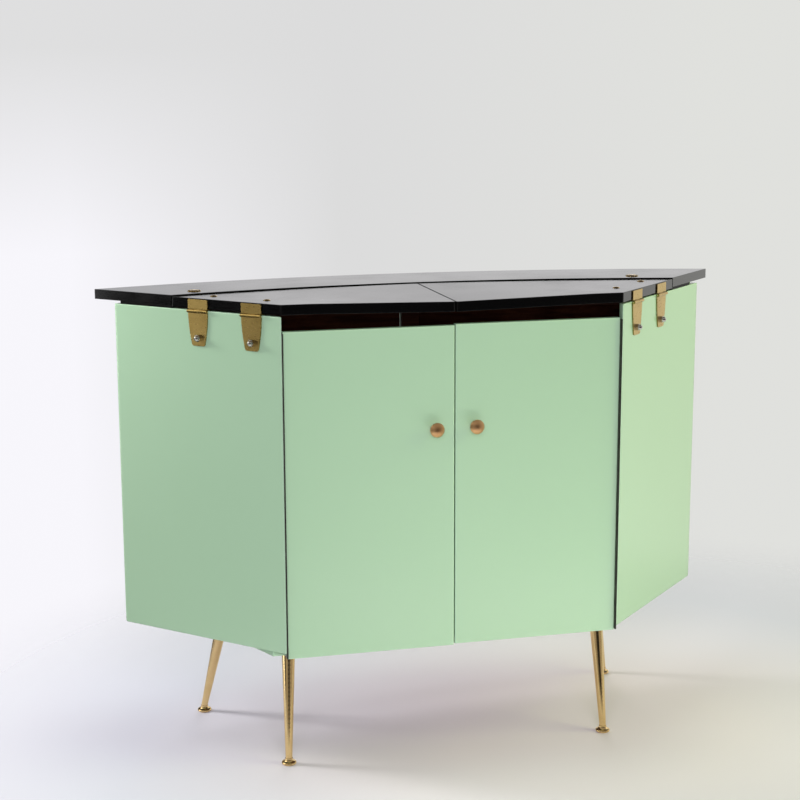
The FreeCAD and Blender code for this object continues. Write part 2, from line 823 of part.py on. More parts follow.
def leg(end):
    """Tapered leg between the foot and the block, with its stud."""
    top, foot = leg_axis(end)
    down = foot - top
    taper = (leg_end_radius - leg_top_radius) / down.Length
    spare = leg_top_radius
    start = top - down * (spare / down.Length)
    length = down.Length + 2 * spare
    widest = leg_top_radius - taper * spare
    narrowest = leg_end_radius + taper * spare
    cone = Part.makeCone(widest, narrowest, length, start, down)
    reach = vec(leg_height, leg_height)
    slab = box(top - reach - vec(0, 0, leg_height - foot_height), top + reach)
    return cone.common(slab).fuse(leg_stud(end, 0.0))


def foot(end):
    """Round foot with a flared neck, flat on the floor."""
    reach = (foot_radius - foot_neck_radius) * foot_flare_reach_share
    rise = (foot_height - foot_rim_height) * foot_flare_rise_share
    flare_middle = vec(foot_neck_radius + reach, 0, foot_rim_height + rise)
    rim = foot_radius - foot_rim_inset
    neck = vec(foot_neck_radius, 0, foot_height)
    flare = Part.Arc(vec(rim, 0, foot_rim_height), flare_middle, neck).toShape()
    edge = Part.Arc(vec(foot_base_radius, 0, 0), vec(foot_radius, 0, foot_rim_height * foot_bulge_share),
                    vec(rim, 0, foot_rim_height)).toShape()
    profile = [line(ORIGIN, vec(foot_base_radius, 0, 0)), edge, flare,
               line(neck, UP * foot_height), line(UP * foot_height, ORIGIN)]
    return turned(profile).translated(leg_tops()[end] + leg_leans[end])


def bottom_board():
    board_solid = board(board_front, side_bottom)
    studs = [leg_stud(end, fit) for end in ("front", "rear")]
    return board_solid.cut(studs + [stud.mirror(ORIGIN, vec(1, 0, 0)) for stud in studs])


# Assembly

def placed(shape, side=1):
    """Move a piece from the plan to the part's own frame; side -1 is the left."""
    if side < 0:
        shape = shape.mirror(ORIGIN, vec(1, 0, 0))
    return shape.translated(vec(0, -origin_y))


def at_straps(make, side):
    """One piece at each strap hinge of a side."""
    return [placed(make(station), side) for station in strap_stations]


def side_pieces(side):
    """Pieces that both halves of the cabinet have, by node name without its side."""
    door_seat = door_outer + hinge_leaf_thickness
    bolts = [leaf_bolt(place) for place in leaf_bolt_places()]
    nuts = [leaf_nut(place) for place in leaf_bolt_places()]
    panel = side_panel().cut(hinge_screw_bores(side, front_half_width, 1, hinge_screw_length + fit))
    pieces = {
        "side_panel": [panel],
        "back_panel": [back_half(side)],
        "shelf_cleat": [shelf_cleat()],
        "counter_spacer": [counter_spacer(side)],
        "hinge_straps": [strap(station) for station in strap_stations],
        "door_hinge_frame_leaf": [frame_leaf(side)],
        "door_hinge_pin": [hinge_pin(side)],
        "door_catch": [catch(side)],
        "leaf_board": [leaf_board(side)],
        "leaf_brackets": [bracket(station) for station in strap_stations],
        "leaf_bolts": bolts,
        "leaf_nuts": nuts,
        "door_panel": [door_panel(side)],
        "door_hinge_leaf": [door_leaf(side)],
        "door_hinge_screws": hinge_screws(side, door_seat, -1),
        "knob": [knob(side)],
        "knob_screw": [knob_screw(side)],
        "strike_plate": [strike(side)],
        "front_leg_block": [front_block(side)],
        "rear_leg_block": [rear_block()],
        "front_leg": [leg("front")],
        "rear_leg": [leg("rear")],
        "front_foot": [foot("front")],
        "rear_foot": [foot("rear")],
    }
    return {name: [placed(solid, side) for solid in solids] for name, solids in pieces.items()}


def middle_pieces():
    """Pieces in the middle of the cabinet, and fasteners shared by both sides."""
    return {
        "back_batten": [placed(back_batten())],
        "bottom_board": [placed(bottom_board())],
        "inner_shelf": [placed(shelf())],
        "counter_rail": [placed(counter_rail())],
        "leaf_ledge": [placed(leaf_ledge())],
        "counter_top": [placed(counter())],
        "counter_rosettes": [placed(rosette(side)) for side in (1, -1)],
        "counter_screws": [placed(rosette_screw(side)) for side in (1, -1)],
        "door_hinge_frame_screws": [placed(screw, side) for side in (1, -1)
                                    for screw in frame_screws(side)],
        "strap_pins": at_straps(strap_pin, 1) + at_straps(strap_pin, -1),
        "strap_bolts": at_straps(strap_bolt, 1) + at_straps(strap_bolt, -1),
        "strap_dome_nuts": at_straps(dome_nut, 1) + at_straps(dome_nut, -1),
    }


def export(name, solids):
    """Write one node; several solids make a group."""
    shape = solids[0] if len(solids) == 1 else Part.makeCompound(solids)
    shape.exportStep("parts/" + name + ".step")


def main():
    os.makedirs("parts", exist_ok=True)
    nodes = middle_pieces()
    for prefix, side in (("left_", -1), ("right_", 1)):
        for name, solids in side_pieces(side).items():
            nodes[prefix + name] = solids
    for name, solids in nodes.items():
        export(name, solids)
    print(len(nodes), "nodes, origin moved back by", round(origin_y, 3))


main()
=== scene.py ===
"""Look of a home bar cabinet whose two front top leaves fold out over its sides as shelves."""
import json
import logging
import math
from dataclasses import dataclass
from enum import Enum
from functools import cache

import bmesh
import bpy
from mathutils import Matrix, Vector


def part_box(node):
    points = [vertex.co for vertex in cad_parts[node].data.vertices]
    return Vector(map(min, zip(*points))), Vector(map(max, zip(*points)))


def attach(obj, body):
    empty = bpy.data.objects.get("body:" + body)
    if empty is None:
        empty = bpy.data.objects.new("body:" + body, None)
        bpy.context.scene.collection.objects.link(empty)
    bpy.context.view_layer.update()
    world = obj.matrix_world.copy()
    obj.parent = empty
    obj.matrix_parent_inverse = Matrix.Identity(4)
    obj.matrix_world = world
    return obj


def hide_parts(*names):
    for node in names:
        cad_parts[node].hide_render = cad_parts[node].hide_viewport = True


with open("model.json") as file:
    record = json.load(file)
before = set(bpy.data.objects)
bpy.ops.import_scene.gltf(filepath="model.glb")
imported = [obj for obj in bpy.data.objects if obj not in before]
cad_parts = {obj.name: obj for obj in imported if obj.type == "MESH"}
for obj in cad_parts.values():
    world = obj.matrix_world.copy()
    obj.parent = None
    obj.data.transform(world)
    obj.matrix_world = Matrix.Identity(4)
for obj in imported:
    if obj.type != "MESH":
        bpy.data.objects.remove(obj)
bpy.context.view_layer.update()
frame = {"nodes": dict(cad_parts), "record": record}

LOG = logging.getLogger("bar_cabinet")
Socket = bpy.types.NodeSocket
Colour = tuple[float, float, float]
Triple = tuple[float, float, float]
Span = tuple[float, float]

DIAGONAL = math.sqrt(0.5)
SHARP_ANGLE = math.radians(35.0)
CUT_TOLERANCE = 1e-7


class Side(Enum):
    """Half of the cabinet, as seen by whoever stands at the doors."""

    LEFT = "left"
    RIGHT = "right"

    @property
    def sign(self) -> int:
        """Direction of this half along X."""
        return -1 if self is Side.LEFT else 1

    def node(self, name: str) -> str:
        """CAD node name of a piece on this half."""
        return f"{self.value}_{name}"


class End(Enum):
    """End of the cabinet that a leg stands at."""

    FRONT = "front"
    REAR = "rear"


class Axis(Enum):
    """Axis of a viewing direction, with its letter in the cabinet's frame."""

    ACROSS = "X"
    AHEAD = "Y"
    RISE = "Z"


class Curve(Enum):
    """Way from one value to another, with Blender's name of it."""

    STRAIGHT = "LINEAR"
    SMOOTH = "SMOOTHSTEP"


class Calculation(Enum):
    """Calculation with two values, with Blender's name of it."""

    SUM = "ADD"
    PRODUCT = "MULTIPLY"
    LARGER = "MAXIMUM"


@dataclass(frozen=True)
class Mottle:
    """Fractal noise that makes a surface uneven; its scale counts features per metre."""

    scale: float
    octaves: float = 3.0
    fineness: float = 0.5


class Graph:
    """Shader node tree that is wired in reading order."""

    bevel_samples = 6
    # Numbers of the colour sockets of a mix node
    mix_first = 6
    mix_second = 7
    mix_result = 2
    # Cosines of the turn of a rounded normal where the painted edge highlight is full and on the flat
    highlight_turn = (0.90, 0.997)

    def __init__(self, tree: bpy.types.NodeTree) -> None:
        """Take over a tree and empty it.

        Args:
            tree: Node tree of a material or of the world.
        """
        self.tree = tree
        tree.nodes.clear()

    def add(self, kind: str, inputs: dict | None = None, **settings: object) -> bpy.types.Node:
        """Add a node.

        Args:
            kind: Blender's name of the node type.
            inputs: Socket names or numbers with a value, or an output socket to link.
            settings: Attributes of the node itself.

        Returns:
            The new node.
        """
        node = self.tree.nodes.new(kind)
        for name, value in settings.items():
            setattr(node, name, value)
        for name, value in (inputs or {}).items():
            if isinstance(value, Socket):
                self.tree.links.new(value, node.inputs[name])
            else:
                node.inputs[name].default_value = value
        return node

    def places(self) -> Socket:
        """Object coordinates, which are metres in the cabinet's own frame."""
        return self.add("ShaderNodeTexCoord").outputs["Object"]

    def stretched(self, scale: Triple) -> Socket:
        """Object coordinates scaled along each axis.

        Args:
            scale: Factor along X, Y and Z.

        Returns:
            Vector socket.
        """
        return self.add("ShaderNodeMapping", {"Vector": self.places(), "Scale": scale}).outputs["Vector"]

    def noise(self, mottle: Mottle, vector: Socket | None = None) -> Socket:
        """Value of a mottle.

        Args:
            mottle: Noise to draw.
            vector: Coordinates, by default the object's.

        Returns:
            Value socket from 0 to 1.
        """
        inputs = {"Vector": vector or self.places(), "Scale": mottle.scale, "Detail": mottle.octaves,
                  "Roughness": mottle.fineness}
        return self.add("ShaderNodeTexNoise", inputs).outputs["Fac"]

    def span(self, value: Socket, low: float, high: float, between: Span = (0.3, 0.7),
             curve: Curve = Curve.STRAIGHT) -> Socket:
        """Map a value to a range, clamped.

        Args:
            value: Value socket.
            low: Result at the first end.
            high: Result at the second end.
            between: Values that give low and high; by default they cut off the tails of a noise.
            curve: Way from low to high.

        Returns:
            Value socket.
        """
        start, end = between
        inputs = {"Value": value, "From Min": start, "From Max": end, "To Min": low, "To Max": high}
        return self.add("ShaderNodeMapRange", inputs, interpolation_type=curve.value).outputs["Result"]

    def mix(self, factor: Socket, first: Colour | Socket, second: Colour | Socket) -> Socket:
        """Blend two colours.

        Args:
            factor: Share of the second colour.
            first: Colour or colour socket.
            second: Colour or colour socket.

        Returns:
            Colour socket.
        """
        node = self.add("ShaderNodeMix", data_type="RGBA")
        self.tree.links.new(factor, node.inputs["Factor"])
        for number, value in ((self.mix_first, first), (self.mix_second, second)):
            if isinstance(value, Socket):
                self.tree.links.new(value, node.inputs[number])
            else:
                node.inputs[number].default_value = (*value, 1.0)
        return node.outputs[self.mix_result]

    def reckon(self, calculation: Calculation, first: Socket, second: Socket) -> Socket:
        """Result of a calculation with two values.

        Args:
            calculation: What to work out.
            first: Value socket.
            second: Value socket.

        Returns:
            Value socket.
        """
        inputs = {0: first, 1: second}
        return self.add("ShaderNodeMath", inputs, operation=calculation.value).outputs[0]

    def dot(self, first: Socket, second: Socket | Triple) -> Socket:
        """Dot product of two directions.

        Args:
            first: Vector socket.
            second: Vector or vector socket.

        Returns:
            Value socket.
        """
        node = self.add("ShaderNodeVectorMath", {0: first, 1: second}, operation="DOT_PRODUCT")
        return node.outputs["Value"]

    def bump(self, height: Socket, distance: float, normal: Socket) -> Socket:
        """Normal bent by a height.

        Args:
            height: Value socket.
            distance: Height in metres of a value of 1.
            normal: Normal to start from.

        Returns:
            Normal socket.
        """
        inputs = {"Height": height, "Distance": distance, "Strength": 1.0, "Normal": normal}
        return self.add("ShaderNodeBump", inputs).outputs["Normal"]

    def soft_edges(self, radius: float) -> Socket:
        """Normal that rounds sharp edges.

        Args:
            radius: Rounding in metres.

        Returns:
            Normal socket.
        """
        return self.add("ShaderNodeBevel", {"Radius": radius}, samples=self.bevel_samples).outputs["Normal"]

    def edge_mask(self, rounded: Socket) -> Socket:
        """How near a sharp edge a point is.

        Args:
            rounded: Normal from soft_edges.

        Returns:
            Value socket, 0 on the flat and 1 on an edge.
        """
        flat = self.add("ShaderNodeNewGeometry").outputs["True Normal"]
        return self.span(self.dot(rounded, flat), 1.0, 0.0, self.highlight_turn)

    def surface(self, inputs: dict) -> None:
        """Close a material with a principled shader.

        Args:
            inputs: Socket names with values or sockets.
        """
        shader = self.add("ShaderNodeBsdfPrincipled", inputs)
        self.add("ShaderNodeOutputMaterial", {"Surface": shader.outputs["BSDF"]})


@dataclass(frozen=True)
class Finish:
    """Finish of a surface; each kind writes its own nodes."""

    name: str

    @cache
    def material(self) -> bpy.types.Material:
        """Material of this finish, made once.

        Returns:
            The material.
        """
        material = bpy.data.materials.new(self.name)
        material.use_nodes = True
        self.wire(Graph(material.node_tree))
        return material

    def wire(self, graph: Graph) -> None:
        """Write the finish's nodes into an empty graph."""
        raise NotImplementedError


@dataclass(frozen=True)
class StainedWood(Finish):
    """Dark wood with a grain along one axis."""

    dark: Colour = (0.042, 0.014, 0.008)
    light: Colour = (0.115, 0.040, 0.019)
    along: Triple = (1.2, 22.0, 22.0)
    rings: Mottle = Mottle(3.0, 6.0, 0.62)
    ring_contrast: Span = (0.35, 0.65)
    pores: Mottle = Mottle(26.0, 2.0)
    pore_contrast: Span = (0.28, 0.42)
    pore_share: float = 0.45
    pore_depth: float = 0.0002
    polish: Mottle = Mottle(12.0, 4.0)
    roughness: Span = (0.35, 0.55)
    sheen: float = 0.5
    edge_radius: float = 0.0008

    def tone(self, graph: Graph) -> Socket:
        """Colour of the stained grain.

        Args:
            graph: Graph to write the nodes into.

        Returns:
            Colour socket.
        """
        grain = graph.stretched(self.along)
        rings = graph.span(graph.noise(self.rings, grain), 0.0, 1.0, self.ring_contrast)
        pores = graph.span(graph.noise(self.pores, grain), self.pore_share, 0.0, self.pore_contrast)
        return graph.mix(pores, graph.mix(rings, self.dark, self.light), self.dark)

    def wire(self, graph: Graph) -> None:
        """Write the wood's nodes.

        Args:
            graph: Graph to write the nodes into.
        """
        pores = graph.noise(self.pores, graph.stretched(self.along))
        graph.surface({
            "Base Color": self.tone(graph),
            "Roughness": graph.span(graph.noise(self.polish), *self.roughness),
            "Normal": graph.bump(pores, self.pore_depth, graph.soft_edges(self.edge_radius)),
            "Specular IOR Level": self.sheen,
        })


@dataclass(frozen=True)
class Laminate(Finish):
    """Glossy coloured laminate, a little uneven and smudged, with a painted highlight along its edges."""

    colour: Colour = (0.418, 0.629, 0.412)
    shade: Colour = (0.408, 0.618, 0.403)
    # Pale colour of the painted highlight along the edges
    edge: Colour = (0.60, 0.88, 0.59)
    clouds: Mottle = Mottle(2.2, 4.0)
    # Noise that breaks up the painted edge highlight
    highlight_breakup: Mottle = Mottle(60.0)
    highlight_breakup_share: Span = (0.6, 1.0)
    smudges: Mottle = Mottle(9.0, 5.0)
    gloss: Span = (0.10, 0.17)
    edge_radius: float = 0.0050
    waves: Mottle = Mottle(5.0, 1.0)
    ripple: float = 0.00004
    refraction: float = 1.5

    def tone(self, graph: Graph, rounded: Socket) -> Socket:
        """Colour of the sheet with the painted highlight along its edges.

        Args:
            graph: Graph to write the nodes into.
            rounded: Normal from soft_edges.

        Returns:
            Colour socket.
        """
        sheet = graph.mix(graph.span(graph.noise(self.clouds), 0.0, 1.0), self.colour, self.shade)
        # Painted highlight: pale edge colour where the rounded normal turns, broken up by noise
        breakup = graph.span(graph.noise(self.highlight_breakup), *self.highlight_breakup_share)
        highlit_edge = graph.reckon(Calculation.PRODUCT, graph.edge_mask(rounded), breakup)
        return graph.mix(highlit_edge, sheet, self.edge)

    def wire(self, graph: Graph) -> None:
        """Write the laminate's nodes.

        Args:
            graph: Graph to write the nodes into.
        """
        rounded = graph.soft_edges(self.edge_radius)
        graph.surface({
            "Base Color": self.tone(graph, rounded),
            "Roughness": graph.span(graph.noise(self.smudges), *self.gloss),
            "Normal": graph.bump(graph.noise(self.waves), self.ripple, rounded),
            "IOR": self.refraction,
        })


@dataclass(frozen=True)
class LinedLaminate(Laminate):
    """Laminate on a board whose inner face is stained wood."""

    inner: Triple = (0.0, 1.0, 0.0)
    lining: StainedWood = StainedWood("lining_stain")
    lined_turn: Span = (0.70, 0.78)

    def tone(self, graph: Graph, rounded: Socket) -> Socket:
        """Colour of the sheet outside and of the stain inside.

        Args:
            graph: Graph to write the nodes into.
            rounded: Normal from soft_edges.

        Returns:
            Colour socket.
        """
        facing = graph.add("ShaderNodeTexCoord").outputs["Normal"]
        inside = graph.span(graph.dot(facing, self.inner), 0.0, 1.0, self.lined_turn)
        return graph.mix(inside, super().tone(graph, rounded), self.lining.tone(graph))


@dataclass(frozen=True)
class Metal(Finish):
    """Polished metal with fine scratches and a breath of tarnish."""

    colour: Colour
    tarnish: Colour
    tarnish_share: float = 0.5
    blotches: Mottle = Mottle(38.0, 5.0)
    blotch_contrast: Span = (0.4, 0.75)
    brush: Triple = (40.0, 40.0, 400.0)
    lines: Mottle = Mottle(4.0, 3.0)
    roughness: Span = (0.10, 0.20)
    scratch: float = 0.000006
    edge_radius: float = 0.0006

    def wire(self, graph: Graph) -> None:
        """Write the metal's nodes.

        Args:
            graph: Graph to write the nodes into.
        """
        blotch = graph.span(graph.noise(self.blotches), 0.0, self.tarnish_share, self.blotch_contrast)
        lines = graph.noise(self.lines, graph.stretched(self.brush))
        graph.surface({
            "Base Color": graph.mix(blotch, self.colour, self.tarnish),
            "Roughness": graph.span(lines, *self.roughness),
            "Normal": graph.bump(lines, self.scratch, graph.soft_edges(self.edge_radius)),
            "Metallic": 1.0,
        })


@dataclass(frozen=True)
class Plastic(Finish):
    """Matt moulded plastic."""

    colour: Colour = (0.26, 0.16, 0.09)
    shade: Colour = (0.20, 0.12, 0.065)
    flecks: Mottle = Mottle(120.0)
    rubbing: Mottle = Mottle(200.0)
    roughness: Span = (0.45, 0.6)
    grain: Mottle = Mottle(900.0, 2.0)
    grain_depth: float = 0.00004
    edge_radius: float = 0.0006

    def wire(self, graph: Graph) -> None:
        """Write the plastic's nodes.

        Args:
            graph: Graph to write the nodes into.
        """
        flecks = graph.span(graph.noise(self.flecks), 0.0, 1.0)
        rounded = graph.soft_edges(self.edge_radius)
        graph.surface({
            "Base Color": graph.mix(flecks, self.colour, self.shade),
            "Roughness": graph.span(graph.noise(self.rubbing), *self.roughness),
            "Normal": graph.bump(graph.noise(self.grain), self.grain_depth, rounded),
        })


@dataclass(frozen=True)
class Paper(Finish):
    """Pale studio floor that fades out at its rim into the background, with painted light round its middle
    and painted shade towards its rim.

    Polished metal doesn't mirror the front of the sheet, but the surround beyond it.
    """

    # Painted light in the middle, pinkish like the cabinet's shadow; painted shade, bluer, towards the rim
    colour: Colour = (0.885, 0.825, 0.835)
    shade: Colour = (0.685, 0.695, 0.77)
    shaded_from: Span = (0.3, 1.0)
    waver: Mottle = Mottle(1.5)
    waver_reach: float = 0.05
    roughness: float = 0.55
    fade: Span = (0.95, 1.75)
    unmirrored: Span = (-0.15, -0.45)

    def tone(self, graph: Graph, length: Socket) -> Socket:
        """Colour of the sheet: painted light round its middle, painted shade away from it.

        Args:
            graph: Graph to write the nodes into.
            length: Distance from the sheet's middle.

        Returns:
            Colour socket.
        """
        waver = graph.span(graph.noise(self.waver), -self.waver_reach, self.waver_reach)
        shaded = graph.span(graph.reckon(Calculation.SUM, length, waver), 0.0, 1.0, self.shaded_from)
        return graph.mix(shaded, self.colour, self.shade)

    def wire(self, graph: Graph) -> None:
        """Write the floor's nodes.

        Args:
            graph: Graph to write the nodes into.
        """
        length = graph.add("ShaderNodeVectorMath", {0: graph.places()}, operation="LENGTH").outputs["Value"]
        inputs = {"Base Color": self.tone(graph, length), "Roughness": self.roughness}
        paper = graph.add("ShaderNodeBsdfPrincipled", inputs)
        faded = graph.span(length, 0.0, 1.0, self.fade, Curve.SMOOTH)
        ahead = graph.add("ShaderNodeSeparateXYZ", {0: graph.places()}).outputs[Axis.AHEAD.value]
        glossy = graph.add("ShaderNodeLightPath").outputs["Is Glossy Ray"]
        skipped = graph.reckon(Calculation.PRODUCT, glossy, graph.span(ahead, 0.0, 1.0, self.unmirrored))
        share = graph.reckon(Calculation.LARGER, faded, skipped)
        clear = graph.add("ShaderNodeBsdfTransparent")
        mixed = graph.add("ShaderNodeMixShader", {0: share, 1: paper.outputs[0], 2: clear.outputs[0]})
        graph.add("ShaderNodeOutputMaterial", {"Surface": mixed.outputs[0]})


MINT = Laminate("mint_sheet")
DOOR_MINT = LinedLaminate("mint_door", inner=(0.0, 1.0, 0.0))
BACK_MINT = LinedLaminate("mint_back", inner=(0.0, -1.0, 0.0))
SIDE_MINT = {
    Side.LEFT: LinedLaminate("mint_left_side", inner=(DIAGONAL, DIAGONAL, 0.0)),
    Side.RIGHT: LinedLaminate("mint_right_side", inner=(-DIAGONAL, DIAGONAL, 0.0)),
}
# Black sheet; its edge colour is a faint painted highlight
BLACK = Laminate("black_sheet", colour=(0.0014, 0.0015, 0.0016), shade=(0.0022, 0.0022, 0.0023),
                 edge=(0.009, 0.009, 0.009), edge_radius=0.0010)
MAHOGANY = StainedWood("mahogany_stain")
# Near-black, barely glossy stain for the packing strips: painted shade in the gap under the counter
SPACER_SHADE = StainedWood("spacer_painted_shade", dark=(0.0012, 0.0011, 0.0010), light=(0.0024, 0.0022, 0.0020),
                          sheen=0.08)
BRASS = Metal("leg_brass", colour=(0.82, 0.60, 0.29), tarnish=(0.62, 0.43, 0.17), roughness=(0.09, 0.17))
STRAP_BRASS = Metal("strap_brass", colour=(0.43, 0.302, 0.098), tarnish=(0.33, 0.225, 0.066),
                    tarnish_share=0.7, roughness=(0.272, 0.282), brush=(25.0, 25.0, 90.0), scratch=0.0000001)
COPPERY = Metal("knob_brass", colour=(0.82, 0.49, 0.24), tarnish=(0.54, 0.29, 0.12), tarnish_share=0.7,
                roughness=(0.36, 0.46))
CHROME = Metal("bright_chrome", colour=(0.60, 0.59, 0.56), tarnish=(0.32, 0.31, 0.28), tarnish_share=0.6,
               roughness=(0.04, 0.09), scratch=0.000001)
STEEL = Metal("dull_steel", colour=(0.10, 0.095, 0.085), tarnish=(0.05, 0.047, 0.04), tarnish_share=0.6,
              roughness=(0.35, 0.5))
CATCH = Plastic("brown_plastic")
FLOOR = Paper("studio_floor")


def dress(node: str, finish: Finish) -> None:
    """Give a CAD node a finish.

    Args:
        node: CAD node name.
        finish: Finish for all of its faces.
    """
    mesh = frame["nodes"][node].data
    mesh.materials.clear()
    mesh.materials.append(finish.material())
    LOG.info("%s wears %s", node, finish.name)


def add_piece(name: str, shape: bmesh.types.BMesh, finish: Finish, body: str,
              stands_for: str) -> None:
    """Turn a bmesh into a piece that rides on a body in place of a CAD node.

    Args:
        name: Name of the new piece.
        shape: Finished shape, freed here.
        finish: Finish for all of its faces.
        body: Body that carries the piece.
        stands_for: CAD node that the piece replaces.
    """
    mesh = bpy.data.meshes.new(name)
    shape.to_mesh(mesh)
    shape.free()
    mesh.polygons.foreach_set("use_smooth", [True] * len(mesh.polygons))
    mesh.set_sharp_from_angle(angle=SHARP_ANGLE)
    mesh.materials.append(finish.material())
    piece = bpy.data.objects.new(name, mesh)
    bpy.context.scene.collection.objects.link(piece)
    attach(piece, body)
    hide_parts(stands_for)
    LOG.info("%s stands for %s and wears %s", name, stands_for, finish.name)


@dataclass
class Carcass:
    """Panels, boards, rails, blocks and catches that stay put."""

    boards: tuple[str, ...] = ("back_batten", "bottom_board", "inner_shelf", "counter_rail", "leaf_ledge")

    def dress(self) -> None:
        """Finish every piece of the carcass."""
        for node in self.boards:
            dress(node, MAHOGANY)
        for side in Side:
            dress(side.node("side_panel"), SIDE_MINT[side])
            dress(side.node("back_panel"), BACK_MINT)
            dress(side.node("door_catch"), CATCH)
            dress(side.node("shelf_cleat"), MAHOGANY)
            for end in End:
                dress(side.node(f"{end.value}_leg_block"), MINT)


@dataclass
class Counter:
    """Crescent counter with its packing strips and rosettes.

    A rosette is drawn as a ring of petals round the screw's head; hole, notch, ridge and stations
    are shares of its radius and height.
    """

    petals: int = 12
    segments: int = 144
    hole: float = 0.41
    notch: float = 0.09
    ridge: float = 0.30
    fullness: float = 0.6
    stations: tuple[Span, ...] = ((0.47, 1.0), (0.53, 0.72), (0.64, 0.80), (0.80, 0.90), (0.92, 0.66),
                                  (1.0, 0.28))

    def profile(self, turn: float) -> list[Span]:
        """Closed profile of a rosette at one turn.

        Args:
            turn: Angle round the screw in radians.

        Returns:
            Radius and height shares, from the hole's foot round to the rim's foot.
        """
        crest = (0.5 + 0.5 * math.cos(self.petals * turn)) ** self.fullness
        rim = 1.0 - self.notch * (1.0 - crest)
        points = [(self.hole, 0.0), (self.hole, 1.0)]
        for share, height in self.stations:
            grown = (share - self.hole) / (1.0 - self.hole)
            radius = self.hole + (rim - self.hole) * grown
            points.append((radius, height * (1.0 - self.ridge * grown * (1.0 - crest))))
        return points + [(rim, 0.0)]

    def build_rosettes(self) -> None:
        """Build both rosettes in place of the plain CAD discs."""
        node = "counter_rosettes"
        corners = [vertex.co for vertex in frame["nodes"][node].data.vertices]
        shape = bmesh.new()
        for side in Side:
            own = [corner for corner in corners if corner.x * side.sign > 0]
            low = Vector(min(corner[axis] for corner in own) for axis in range(3))
            high = Vector(max(corner[axis] for corner in own) for axis in range(3))
            self.add_rosette(shape, low, high)
        add_piece("petal_rosettes", shape, BRASS, "carcass", node)

    def add_rosette(self, shape: bmesh.types.BMesh, low: Vector, high: Vector) -> None:
        """Add one rosette to a shape.

        Args:
            shape: Shape that takes the rosette.
            low: Lowest corner of the rosette's box.
            high: Highest corner of the rosette's box.
        """
        centre = (low + high) / 2
        radius = (high.x - low.x) / 2
        height = high.z - low.z
        rings = []
        for step in range(self.segments):
            turn = 2 * math.pi * step / self.segments
            ring = []
            for share, rise in self.profile(turn):
                across = centre.x + radius * share * math.cos(turn)
                ahead = centre.y + radius * share * math.sin(turn)
                ring.append(shape.verts.new((across, ahead, low.z + height * rise)))
            rings.append(ring)
        for ring, following in zip(rings, rings[1:] + rings[:1]):
            for index, corner in enumerate(ring):
                after = (index + 1) % len(ring)
                shape.faces.new((corner, following[index], following[after], ring[after]))

    def dress(self) -> None:
        """Build the rosettes and finish the counter."""
        self.build_rosettes()
        dress("counter_top", BLACK)
        dress("counter_screws", BRASS)
        for side in Side:
            # Packing strips painted near-black as the shade in the gap
            dress(side.node("counter_spacer"), SPACER_SHADE)


@dataclass
class FoldOutLeaf:
    """One front leaf with the brackets, bolts and nuts that ride on it.

    The board has warped with age: its front corner hangs at the split and its rear corner rises.
    """

    side: Side
    front_sag: float = 0.0061
    rear_rise: float = 0.0009
    stiff_share: float = 0.18
    cell: float = 0.05

    def hinge(self) -> tuple[Vector, Vector]:
        """Hinge line of the leaf, from the record.

        Returns:
            A point on the line, and its direction.
        """
        joints = frame["record"]["behaviour"]["joints"]
        joint = next(item for item in joints if item["name"] == self.side.node("leaf_fold"))
        return Vector(joint["pos_m"]), Vector(joint["axis"])

    def warp(self, place: Vector, low: Vector, high: Vector) -> float:
        """Rise of the board at a point.

        Args:
            place: Point on the board.
            low: Lowest corner of the board's box.
            high: Highest corner of the board's box.

        Returns:
            Metres upward.
        """
        pivot, axis = self.hinge()
        hinge_x = pivot.x + (place.y - pivot.y) * axis.x / axis.y
        across = 1.0 - place.x / hinge_x
        back = (place.y - low.y) / (high.y - low.y)
        free = max(0.0, (across - self.stiff_share) / (1.0 - self.stiff_share))
        return free * (self.rear_rise * back - self.front_sag * (1.0 - back))

    def build_board(self) -> None:
        """Build the warped board in place of the level CAD one."""
        node = self.side.node("leaf_board")
        low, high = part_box(node)
        shape = bmesh.new()
        shape.from_mesh(frame["nodes"][node].data)
        for axis in range(2):
            steps = round((high[axis] - low[axis]) / self.cell)
            normal = Vector((axis == 0, axis == 1, 0.0))
            for step in range(1, steps):
                cut = low.lerp(high, step / steps)
                whole = shape.verts[:] + shape.edges[:] + shape.faces[:]
                bmesh.ops.bisect_plane(shape, geom=whole, dist=CUT_TOLERANCE, plane_co=cut, plane_no=normal)
        bmesh.ops.triangulate(shape, faces=shape.faces[:])
        for vertex in shape.verts:
            vertex.co.z += self.warp(vertex.co, low, high)
        name = self.side.node("warped_board")
        add_piece(name, shape, BLACK, self.side.node("leaf"), node)

    def dress(self) -> None:
        """Build and finish the leaf."""
        self.build_board()
        dress(self.side.node("leaf_brackets"), STRAP_BRASS)
        dress(self.side.node("leaf_bolts"), BRASS)
        dress(self.side.node("leaf_nuts"), CHROME)


@dataclass
class StrapHinges:
    """Straps on the side panels that carry the leaves, with their pins, bolts and cap nuts."""

    bright: tuple[str, ...] = ("strap_bolts", "strap_dome_nuts")

    def dress(self) -> None:
        """Finish straps, pins, bolts and cap nuts."""
        for side in Side:
            dress(side.node("hinge_straps"), STRAP_BRASS)
        dress("strap_pins", BRASS)
        for node in self.bright:
            dress(node, CHROME)


@dataclass
class Doors:
    """Both doors with their knobs, hinges and strike plates."""

    steel: tuple[str, ...] = ("door_hinge_leaf", "door_hinge_screws", "knob_screw", "strike_plate",
                              "door_hinge_frame_leaf", "door_hinge_pin")

    def dress(self) -> None:
        """Finish the doors and their hinges."""
        for side in Side:
            dress(side.node("door_panel"), DOOR_MINT)
            dress(side.node("knob"), COPPERY)
            for node in self.steel:
                dress(side.node(node), STEEL)
        dress("door_hinge_frame_screws", STEEL)


@dataclass
class SplayedLegs:
    """Four tapered legs with round feet."""

    pieces: tuple[str, ...] = ("leg", "foot")

    def dress(self) -> None:
        """Finish legs and feet."""
        for side in Side:
            for end in End:
                for piece in self.pieces:
                    dress(side.node(f"{end.value}_{piece}"), BRASS)


